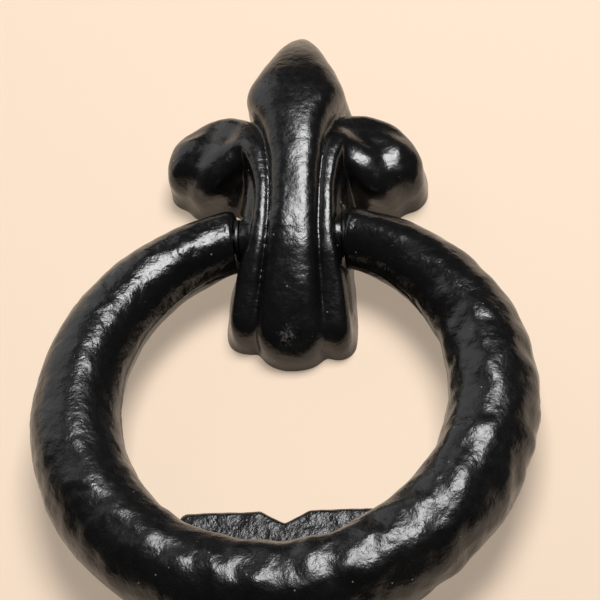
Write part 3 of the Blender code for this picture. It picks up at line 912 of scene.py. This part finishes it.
def grub_screw(steel):
    """A hex socket set screw with a cup point and a few threads."""
    low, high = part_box("pin_grub_screw")
    radius = (high.x - low.x) / 2
    point = low.y
    back = high.y
    bm = bmesh.new()
    segments = 48
    loops = [circle(0, point + 0.3 * MM, segments), circle(radius * 0.45, point, segments)]
    thread_rows = int((back - point - 1.0 * MM) / (0.35 * MM))
    for i in range(thread_rows):
        y = point + 0.6 * MM + i * 0.35 * MM
        loops.append(circle(radius * (1.0 if i % 2 else 0.9), y, segments))
    loops += [circle(radius, back - 0.25 * MM, segments), circle(radius - 0.25 * MM, back, segments),
              circle(1.35 * MM, back, segments), hexagon(2.0 * MM, back - 0.2 * MM, segments),
              hexagon(2.0 * MM, back - 2.0 * MM, segments), circle(0, back - 2.4 * MM, segments)]
    loft_into(bm, loops)
    screw = new_piece("pin_grub_socket_screw", bm, 30)
    screw.data.transform(Matrix.Translation(((low.x + high.x) / 2, 0, (low.z + high.z) / 2)))
    finish_piece(screw, steel, "pin_grub_screw", FIXED)


def threaded_stud(node, steel):
    """A stud with an M6 thread from end to end."""
    low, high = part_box(node)
    radius = (high.x - low.x) / 2
    pitch = 1.0 * MM
    depth = 0.55 * MM
    chamfer = 1.0 * MM
    flank_slope = 1.35
    crest_width = 0.18
    rows_per_turn = 8
    segments = 40
    length = high.y - low.y
    rows = int(length / pitch * rows_per_turn)
    loops = [circle(0, low.y, segments)]
    for row in range(rows + 1):
        y = length * row / rows
        from_end = min(y, length - y)
        loop = []
        for i in range(segments):
            angle = 2 * math.pi * i / segments
            phase = (y / pitch - i / segments) % 1
            flank = min(1.0, max(0.0, abs(2 * phase - 1) * flank_slope - crest_width))
            here = min(radius - depth * flank, radius - chamfer + from_end)
            loop.append(Vector((here * math.cos(angle), low.y + y, here * math.sin(angle))))
        loops.append(loop)
    loops.append(circle(0, high.y, segments))
    bm = bmesh.new()
    loft_into(bm, loops)
    stud = new_piece(node + "_threaded", bm, 60)
    stud.data.transform(Matrix.Translation((0, 0, (low.z + high.z) / 2)))
    finish_piece(stud, steel, node, FIXED)


def door_washer(node, stud_node, steel):
    """A washer round its stud, on the door's inner face."""
    low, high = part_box(node)
    stud_low, stud_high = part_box(stud_node)
    bore = (stud_high.x - stud_low.x) / 2 + GAP
    disc = turned(node + "_disc", washer_profile((high.x - low.x) / 2, bore, low.y, high.y), closed=True)
    disc.data.transform(Matrix.Translation((0, 0, (low.z + high.z) / 2)))
    finish_piece(disc, steel, node, FIXED)


def nut_hexagon(flats, y, inward, segments):
    """Loops from a chamfered rim to the full corners, or back, at one end of the hexagon."""
    corner = flats / math.sqrt(3)
    loops = []
    for step in (0, 1, 2) if inward > 0 else (2, 1, 0):
        limit = flats / 2 - 0.05 * MM + (corner - flats / 2 + 0.1 * MM) * step / 2
        loop = []
        for point in hexagon(flats, 0, segments):
            reach = math.hypot(point.x, point.z)
            rise = max(0.0, min(reach, limit) - flats / 2) * 0.55
            scale = min(1.0, limit / reach)
            level = y + inward * (rise + 0.02 * MM * step)
            loop.append(Vector((point.x * scale, level, point.z * scale)))
        loops.append(loop)
    return loops


def dome_nut(node, steel):
    """A domed nut: chamfered hexagon, drawn dome and a countersunk blind bore."""
    low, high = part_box(node)
    flats = high.z - low.z
    hex_height = 5.5 * MM
    height = high.y - low.y
    dome = 4.75 * MM
    bore = 3.3 * MM
    segments = 96
    loops = [circle(0, 8 * MM, segments), circle(bore, 7.2 * MM, segments),
             circle(bore, 0.6 * MM, segments), circle(bore + 0.5 * MM, 0, segments),
             circle(flats / 2 - 0.25 * MM, 0, segments)]
    loops += nut_hexagon(flats, 0, 1, segments) + nut_hexagon(flats, hex_height, -1, segments)
    straight = height - hex_height - dome
    loops.append(circle(dome + 0.12 * MM, hex_height + 0.05 * MM, segments))
    loops.append(circle(dome, hex_height + 0.25 * MM, segments))
    dome_steps = 12
    for step in range(dome_steps):
        angle = math.pi / 2 * step / dome_steps
        y = hex_height + straight + dome * math.sin(angle)
        loops.append(circle(dome * math.cos(angle), max(y, hex_height + 0.3 * MM), segments))
    loops.append(circle(0, height, segments))
    bm = bmesh.new()
    loft_into(bm, loops)
    nut = new_piece(node + "_domed", bm, 35)
    nut.data.transform(Matrix.Translation((0, low.y, (low.z + high.z) / 2)))
    finish_piece(nut, steel, node, FIXED)


# ---------------------------------------------------------------- backdrop, light and camera

def open_behind(shader):
    """Show the wall from its front only, and let a lamp behind it reach the knocker's back."""
    behind = shader.add("ShaderNodeNewGeometry").outputs["Backfacing"]
    shadow = shader.add("ShaderNodeLightPath").outputs["Is Shadow Ray"]
    clear = shader.add("ShaderNodeBsdfTransparent").outputs["BSDF"]
    mix = shader.add("ShaderNodeMixShader", Fac=shader.maths("MAXIMUM", behind, shadow))
    output = shader.tree.nodes["Material Output"]
    shader.feed(mix.inputs[1], shader.surface.outputs["BSDF"])
    shader.feed(mix.inputs[2], clear)
    shader.feed(output.inputs["Surface"], mix.outputs["Shader"])


def backdrop():
    """A plain pale wall that the knocker is fixed to."""
    bm = bmesh.new()
    corners = ((-1, -1), (1, -1), (1, 1), (-1, 1))
    face = bm.faces.new([bm.verts.new((x * WALL_HALF, WALL_SET_BACK, z * WALL_HALF)) for x, z in corners])
    if face.normal.y > 0:
        face.normal_flip()
    mesh = bpy.data.meshes.new("backdrop")
    bm.to_mesh(mesh)
    bm.free()
    wall = bpy.data.objects.new("backdrop", mesh)
    bpy.context.scene.collection.objects.link(wall)
    shader = Shader("pale_wall", WALL_COLOUR, 0.75, 0.0)
    shader.set("Emission Color", WALL_GLOW)
    shader.set("Emission Strength", WALL_GLOW_STRENGTH)
    open_behind(shader)
    mesh.materials.append(shader.material)


def area_light(name, direction, distance, width, height, power, colour=(1, 1, 1)):
    """A lamp that faces the origin: sizes and distance in metres, power in watts."""
    light = bpy.data.lights.new(name, "AREA")
    light.shape = "RECTANGLE"
    light.size = width
    light.size_y = height
    light.energy = power
    light.color = colour
    lamp = bpy.data.objects.new(name, light)
    towards = Vector(direction).normalized()
    lamp.location = towards * distance
    lamp.rotation_euler = towards.to_track_quat("Z", "Y").to_euler()
    bpy.context.scene.collection.objects.link(lamp)


def lighting():
    area_light("key", (0.15, -0.96, 0.26), 1.0, 0.45, 0.45, 10.8)
    area_light("left_fill", (-0.68, -0.34, 0.65), 1.0, 0.9, 0.8, 1.8)
    area_light("rear_fill", (0.55, 0.75, 0.35), 1.2, 1.2, 1.2, 4.0, (1.0, 0.93, 0.84))
    world = bpy.data.worlds.new("studio")
    world.use_nodes = True
    background = world.node_tree.nodes["Background"]
    background.inputs["Color"].default_value = (1, 1, 1, 1)
    background.inputs["Strength"].default_value = WORLD_STRENGTH
    bpy.context.scene.world = world


def camera():
    lens = bpy.data.cameras.new("camera")
    lens.sensor_width = 36
    lens.lens = CAMERA_LENS
    lens.clip_start = 0.01
    eye = bpy.data.objects.new("camera", lens)
    back = Vector((math.sin(CAMERA_AZIMUTH) * math.cos(CAMERA_ELEVATION),
                   -math.cos(CAMERA_AZIMUTH) * math.cos(CAMERA_ELEVATION), math.sin(CAMERA_ELEVATION)))
    turn = back.to_track_quat("Z", "Y").to_matrix().to_4x4()
    eye.matrix_world = (Matrix.Translation(CAMERA_AIM + back * CAMERA_DISTANCE) @ turn
                        @ Matrix.Rotation(CAMERA_ROLL, 4, "Z"))
    bpy.context.scene.collection.objects.link(eye)
    bpy.context.scene.camera = eye
    bpy.context.scene.view_settings.view_transform = "Standard"


# ---------------------------------------------------------------- the whole


def build():
    camera()
    lighting()
    backdrop()
    head_paint = black_paint("black_paint_smooth", orange_peel=0.075, pitting=0.012, gloss=0.19,
                             specular=0.62, worn_spot=FOOT_SCUFF)
    ring_paint = black_paint("black_paint_hammered", orange_peel=0.10, pitting=0.02, gloss=0.15,
                             specular=0.56, dulled=0.07)
    striker_paint = black_paint("black_paint_striker", orange_peel=0.13, pitting=0.05, gloss=0.21,
                                specular=0.4)
    zinc = plated_steel("zinc_plated_steel", (0.60, 0.61, 0.62), 0.3)
    black_steel = plated_steel("black_oxide_steel", (0.06, 0.06, 0.062), 0.38)
    cast_head(head_paint)
    hammered_ring(ring_paint)
    striker_plate(striker_paint)
    hinge_pin(black_steel)
    grub_screw(black_steel)
    hinge_washers(black_steel)
    for stud, washer, nut in (("head_stud_upper", "head_washer_upper", "head_dome_nut_upper"),
                              ("head_stud_lower", "head_washer_lower", "head_dome_nut_lower"),
                              ("striker_stud", "striker_washer", "striker_dome_nut")):
        threaded_stud(stud, zinc)
        door_washer(washer, stud, zinc)
        dome_nut(nut, zinc)


build()
